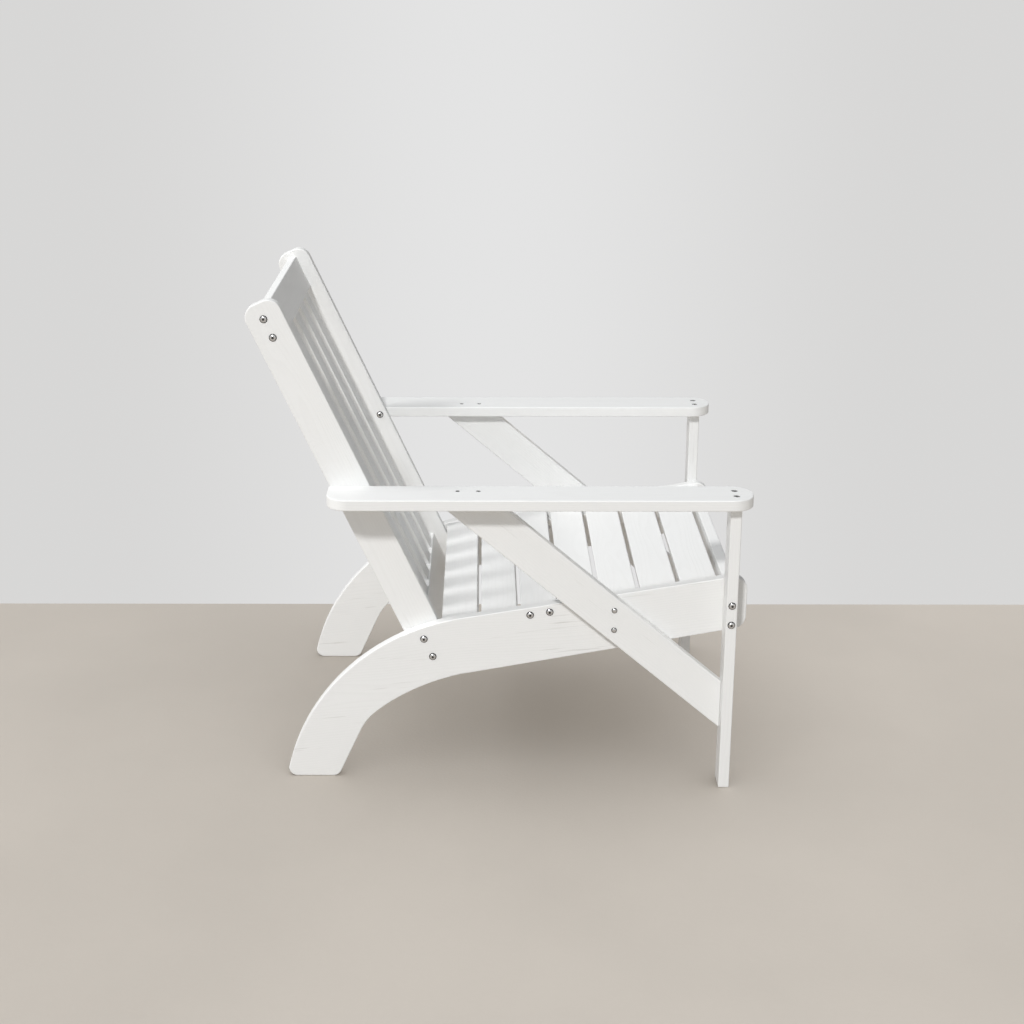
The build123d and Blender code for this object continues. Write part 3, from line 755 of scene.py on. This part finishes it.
def set_fasteners(pattern, node, axis, inward):
    """Put a copy of a turned piece at each of a node's fasteners, and make one piece of them."""
    copies = []
    for index, (low, high) in enumerate(fastener_places(node, axis)):
        middle = (low + high) / 2
        piece = pattern.copy()
        piece.data = pattern.data.copy()
        bpy.context.scene.collection.objects.link(piece)
        turn = Matrix.Rotation(radians(FIRST_TURN + NEXT_TURN * index), 4, "Z")
        if axis == ALONG_Y:
            outward = 1 if (middle.y > 0) != inward else -1
            turn = Matrix.Rotation(-RIGHT_ANGLE * outward, 4, "X") @ turn
        piece.matrix_world = Matrix.Translation(seat_of(pattern, low, high, axis, inward)) @ turn
        copies.append(piece)
    bpy.ops.object.select_all(action="DESELECT")
    for piece in copies:
        piece.select_set(True)
    bpy.context.view_layer.objects.active = copies[0]
    bpy.ops.object.transform_apply(location=True, rotation=True, scale=True)
    bpy.ops.object.join()
    joined = bpy.context.active_object
    joined.name = node + "_turned"
    joined.data.name = joined.name
    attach(joined, BODY)
    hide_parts(node)


def fastener_size(node, axis):
    """Head radius and length over all of a node's fasteners."""
    low, high = fastener_places(node, axis)[0]
    return (high.x - low.x) / 2, high[axis] - low[axis]


def bolt_metals(fasteners):
    """Metals of a bolt: polished steel, and near-black steel painted into its socket and onto its rim as
    shade and dark reflection.
    """
    bright = metal("polished_steel", fasteners.steel, POLISHED)
    return bright, metal("dull_steel", fasteners.dull_steel, DULLED)


class CHAIR_OT_socket_bolts(Operator):
    """Turn the domed bolts with hexagon sockets"""

    bl_idname = "chair.socket_bolts"
    bl_label = "Socket bolts"

    def execute(self, context):
        fasteners = context.scene.chair_fasteners
        bright, painted_shade = bolt_metals(fasteners)
        nodes = ("header_bolts", "back_rail_bolts", "seat_bolts", "front_post_bolts", "arm_back_bolts")
        for node in nodes:
            radius, length = fastener_size(node, ALONG_Y)
            height = fasteners.head_height
            bolt = turned_shank(node + "_pattern", SHANK_RADIUS, length - height, fasteners.facets)
            land = fasteners.socket_size * SOCKET_LAND
            grow_end(bolt, True, dome_steps(radius, HEAD_RIM, height, land, DOME_STEPS))
            cut_socket(bolt, fasteners.socket_size, fasteners.socket_depth, height)
            soften(bolt)
            socket = fasteners.socket_size * SOCKET_REACH
            finish_head(bolt, socket, radius * fasteners.unshaded_share, bright, painted_shade)
            set_fasteners(bolt, node, ALONG_Y, node == "arm_back_bolts")
            bpy.data.objects.remove(bolt)
        return {"FINISHED"}


class CHAIR_OT_brace_bolts(Operator):
    """Turn the plain domed bolts of the braces"""

    bl_idname = "chair.brace_bolts"
    bl_label = "Brace bolts"

    def execute(self, context):
        fasteners = context.scene.chair_fasteners
        bright, painted_shade = bolt_metals(fasteners)
        radius, length = fastener_size("brace_bolts", ALONG_Y)
        height = fasteners.brace_head_height
        bolt = turned_shank("brace_bolt_pattern", SHANK_RADIUS, length - height, fasteners.facets)
        flat = radius * PLAIN_DOME_FLAT
        grow_end(bolt, True, dome_steps(radius, HEAD_RIM, height, flat, PLAIN_DOME_STEPS))
        soften(bolt)
        finish_head(bolt, 0.0, radius * fasteners.unshaded_share, bright, painted_shade)
        set_fasteners(bolt, "brace_bolts", ALONG_Y, False)
        bpy.data.objects.remove(bolt)
        return {"FINISHED"}


class CHAIR_OT_arm_screws(Operator):
    """Turn the flat-headed screws sunk in the armrests"""

    bl_idname = "chair.arm_screws"
    bl_label = "Arm screws"

    def execute(self, context):
        fasteners = context.scene.chair_fasteners
        # Painted shade: the sunk screw heads get the darkened steel
        steel = metal("dark_polished_steel", fasteners.shaded_screw_steel, POLISHED)
        for node in ("arm_post_screws", "arm_brace_screws"):
            radius, length = fastener_size(node, ALONG_Z)
            height = fasteners.screw_head_height
            screw = turned_shank(node + "_pattern", SHANK_RADIUS, length - height, fasteners.facets)
            underside = radius * SCREW_UNDERSIDE
            grow_end(screw, True, [(underside, 0.0), (radius, height * SCREW_EDGE), (radius, height)])
            cut_socket(screw, fasteners.socket_size, fasteners.socket_depth, height)
            soften(screw)
            screw.data.materials.append(steel)
            set_fasteners(screw, node, ALONG_Z, False)
            bpy.data.objects.remove(screw)
        return {"FINISHED"}


def finish_node(node, material):
    """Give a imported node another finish."""
    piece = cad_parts[node]
    for material_slot in piece.material_slots:
        material_slot.material = material


class CHAIR_OT_hidden_fittings(Operator):
    """Finish the barrel nuts, cleat screws and threaded inserts"""

    bl_idname = "chair.hidden_fittings"
    bl_label = "Hidden fittings"

    def execute(self, context):
        fasteners = context.scene.chair_fasteners
        zinc = metal("zinc_plate", fasteners.zinc, ZINC_PLATED)
        brass = metal("plain_brass", fasteners.brass, PLAIN_BRASS)
        for node in sorted(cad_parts):
            if node.endswith("_barrel_nuts") or node.startswith("cleat_"):
                finish_node(node, zinc)
            if node.endswith("_inserts"):
                finish_node(node, brass)
        return {"FINISHED"}


# Stage
def seen_directly(tree):
    """One for camera, glossy and transmission rays, and zero for the rest."""
    path = add_node(tree, "ShaderNodeLightPath").outputs
    glossy = calc(tree, "MAXIMUM", path["Is Glossy Ray"], path["Is Transmission Ray"])
    return calc(tree, "MAXIMUM", path["Is Camera Ray"], glossy)


def floor_material(stage):
    """Pale plastered floor with a faint cloudiness."""
    material, tree, shader = new_material("pale_floor")
    place = add_node(tree, "ShaderNodeTexCoord").outputs["Object"]
    cloud = ramp(tree, noise(tree, place, FLOOR_CLOUD_SCALE, detail=5), *CLOUD_RANGE)
    darker = [FLOOR_CLOUD_SHARE * part for part in stage.floor_colour]
    tree.links.new(blended(tree, cloud, stage.floor_colour, darker), shader.inputs["Base Color"])
    shader.inputs["Roughness"].default_value = FLOOR_ROUGHNESS
    shader.inputs["Specular IOR Level"].default_value = FLOOR_GLOSS
    grains = noise(tree, place, FLOOR_GRIT_SCALE, detail=3)
    grit = add_node(tree, "ShaderNodeBump", {"Height": grains, "Distance": FLOOR_GRIT_DEPTH})
    tree.links.new(grit.outputs["Normal"], shader.inputs["Normal"])
    return material


def wall_material(stage):
    """Pale wall with a painted pool of light behind the chair, that shows from its front only."""
    material, tree, shader = new_material("pale_wall")
    place = add_node(tree, "ShaderNodeTexCoord").outputs["Object"]
    across = add_node(tree, "ShaderNodeSeparateXYZ", {"Vector": place}).outputs["X"]
    # Painted pool of light: the wall pales towards its middle
    pool = ramp(tree, calc(tree, "ABSOLUTE", across), 0.0, stage.glow_reach, 1.0, 0.0)
    tone = blended(tree, pool, stage.wall_colour, stage.wall_glow)
    tree.links.new(tone, shader.inputs["Base Color"])
    shader.inputs["Roughness"].default_value = WALL_ROUGHNESS
    shader.inputs["Specular IOR Level"].default_value = WALL_GLOSS
    glow = add_node(tree, "ShaderNodeEmission", {"Color": tone})
    front = add_node(tree, "ShaderNodeMixShader", {0: seen_directly(tree)})
    tree.links.new(shader.outputs["BSDF"], front.inputs[1])
    tree.links.new(glow.outputs["Emission"], front.inputs[2])
    from_behind = add_node(tree, "ShaderNodeNewGeometry").outputs["Backfacing"]
    both = add_node(tree, "ShaderNodeMixShader", {0: from_behind})
    tree.links.new(front.outputs[0], both.inputs[1])
    tree.links.new(add_node(tree, "ShaderNodeBsdfTransparent").outputs[0], both.inputs[2])
    output = next(node for node in tree.nodes if node.type == "OUTPUT_MATERIAL")
    tree.links.new(both.outputs[0], output.inputs["Surface"])
    return material


def add_plane(name, size, place, turn, material):
    """Flat stage surface of some size."""
    bpy.ops.object.select_all(action="DESELECT")
    bpy.ops.mesh.primitive_plane_add(size=1, location=place, rotation=turn)
    plane = bpy.context.active_object
    plane.name = name
    plane.scale = (*size, 1)
    bpy.ops.object.transform_apply(location=True, rotation=True, scale=True)
    plane.data.materials.append(material)
    plane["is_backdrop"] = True
    return plane


def add_lamp(name, place, target, size, power, lit):
    """Square area lamp that looks at a point and lights one collection."""
    bpy.ops.object.light_add(type="AREA", location=place)
    lamp = bpy.context.active_object
    lamp.name = name
    lamp.rotation_euler = (Vector(target) - Vector(place)).to_track_quat("-Z", "Y").to_euler()
    lamp.data.size = size
    lamp.data.energy = power
    lamp.light_linking.receiver_collection = lit


def add_sky(name, turn, spread, strength, lit):
    """Wide, even light from above on one collection."""
    bpy.ops.object.light_add(type="SUN", location=(0, 0, SKY_HEIGHT), rotation=turn)
    lamp = bpy.context.active_object
    lamp.name = name
    lamp.data.angle = spread
    lamp.data.energy = strength
    lamp.light_linking.receiver_collection = lit


def lit_group(name, pieces):
    """Collection of the pieces that a lamp lights."""
    group = bpy.data.collections.new(name)
    for piece in pieces:
        group.objects.link(piece)
    return group


def light_room(scene, stage):
    """World with soft light that differs from side to side, behind a plain background."""
    world = bpy.data.worlds.new("studio")
    scene.world = world
    world.use_nodes = True
    tree = world.node_tree
    tree.nodes.clear()
    direction = add_node(tree, "ShaderNodeTexCoord").outputs["Generated"]
    strength = 0.0
    from_camera = Vector((0, -cos(stage.room_height), sin(stage.room_height)))
    sides = ((-AHEAD, stage.room_left), (from_camera, stage.room_camera), (ACROSS, stage.room_wall))
    for side, weight in sides:
        facing = add_node(tree, "ShaderNodeVectorMath", {0: direction, 1: side}, operation="DOT_PRODUCT")
        towards = calc(tree, "MAXIMUM", facing.outputs["Value"], 0.0)
        strength = calc(tree, "MULTIPLY_ADD", towards, weight, strength)
    soft = add_node(tree, "ShaderNodeBackground", {"Color": opaque(stage.room_colour), "Strength": strength})
    plain = add_node(tree, "ShaderNodeBackground", {"Color": opaque(stage.wall_colour), "Strength": 1.0})
    mix = add_node(tree, "ShaderNodeMixShader", {0: seen_directly(tree)})
    tree.links.new(soft.outputs[0], mix.inputs[1])
    tree.links.new(plain.outputs[0], mix.inputs[2])
    add_node(tree, "ShaderNodeOutputWorld", {"Surface": mix.outputs[0]})


class CHAIR_OT_stage(Operator):
    """Set the floor, the wall, the lamps and the camera"""

    bl_idname = "chair.stage"
    bl_label = "Stage"

    def execute(self, context):
        scene = context.scene
        stage = scene.chair_stage
        floor_z = cad_box[0].z
        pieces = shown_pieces()
        slats = [piece for piece in pieces if piece.name.startswith("seat_slat_")]
        chair = lit_group("chair", pieces)
        seat = lit_group("seat", slats)
        around_seat = lit_group("around_seat", [piece for piece in pieces if piece not in slats])
        floor = add_plane("floor", FLOOR_SIZE, (0, 0, floor_z), (0, 0, 0), floor_material(stage))
        wall_middle = (0, stage.wall_place, floor_z + WALL_SIZE[1] / 2)
        wall = add_plane("wall", WALL_SIZE, wall_middle, (RIGHT_ANGLE, 0, 0), wall_material(stage))
        wall.visible_diffuse = False
        wall.visible_shadow = False
        ground = lit_group("ground", [floor])
        add_lamp("key_lamp", *KEY_LAMP, stage.key_power, around_seat)
        add_lamp("seat_lamp", *SEAT_LAMP, stage.seat_power, seat)
        add_lamp("rear_lamp", *REAR_LAMP, stage.rear_power, chair)
        add_sky("sky_lamp", (0, SKY_TILT, 0), stage.floor_spread, stage.floor_light, ground)
        light_room(scene, stage)
        turn = (RIGHT_ANGLE - stage.camera_pitch, 0, stage.camera_yaw)
        bpy.ops.object.camera_add(location=stage.camera_place, rotation=turn)
        camera = context.active_object
        camera.name = "camera"
        camera.data.lens = stage.lens
        camera.data.sensor_width = SENSOR_WIDTH
        camera.data.shift_x, camera.data.shift_y = stage.shift
        scene.camera = camera
        scene.view_settings.view_transform = "Standard"
        return {"FINISHED"}


OPERATORS = (
    CHAIR_OT_side_rails, CHAIR_OT_front_posts, CHAIR_OT_braces, CHAIR_OT_armrests, CHAIR_OT_back_frame,
    CHAIR_OT_back_slats, CHAIR_OT_seat, CHAIR_OT_socket_bolts, CHAIR_OT_brace_bolts, CHAIR_OT_arm_screws,
    CHAIR_OT_hidden_fittings, CHAIR_OT_stage,
)


class CHAIR_PT_sidebar(Panel):
    """Settings and steps of the chair"""

    bl_idname = "CHAIR_PT_sidebar"
    bl_label = "Adirondack chair"
    bl_space_type = "VIEW_3D"
    bl_region_type = "UI"
    bl_category = "Chair"

    def draw(self, context):
        for group in (context.scene.chair_paint, context.scene.chair_fasteners, context.scene.chair_stage):
            column = self.layout.box().column()
            for name in group.__annotations__:
                column.prop(group, name)
        for operator in OPERATORS:
            self.layout.operator(operator.bl_idname)


CLASSES = (ChairPaint, ChairFasteners, ChairStage, *OPERATORS, CHAIR_PT_sidebar)


def register():
    """Add the classes and the chair's settings to Blender."""
    for made in CLASSES:
        bpy.utils.register_class(made)
    bpy.types.Scene.chair_paint = PointerProperty(type=ChairPaint)
    bpy.types.Scene.chair_fasteners = PointerProperty(type=ChairFasteners)
    bpy.types.Scene.chair_stage = PointerProperty(type=ChairStage)


def unregister():
    """Take the settings and the classes out of Blender."""
    del bpy.types.Scene.chair_stage
    del bpy.types.Scene.chair_fasteners
    del bpy.types.Scene.chair_paint
    for made in reversed(CLASSES):
        bpy.utils.unregister_class(made)


def main():
    """Finish the chair and its stage in order."""
    register()
    bpy.ops.chair.side_rails()
    bpy.ops.chair.front_posts()
    bpy.ops.chair.braces()
    bpy.ops.chair.armrests()
    bpy.ops.chair.back_frame()
    bpy.ops.chair.back_slats()
    bpy.ops.chair.seat()
    bpy.ops.chair.socket_bolts()
    bpy.ops.chair.brace_bolts()
    bpy.ops.chair.arm_screws()
    bpy.ops.chair.hidden_fittings()
    bpy.ops.chair.stage()


if __name__ == "__main__":
    main()
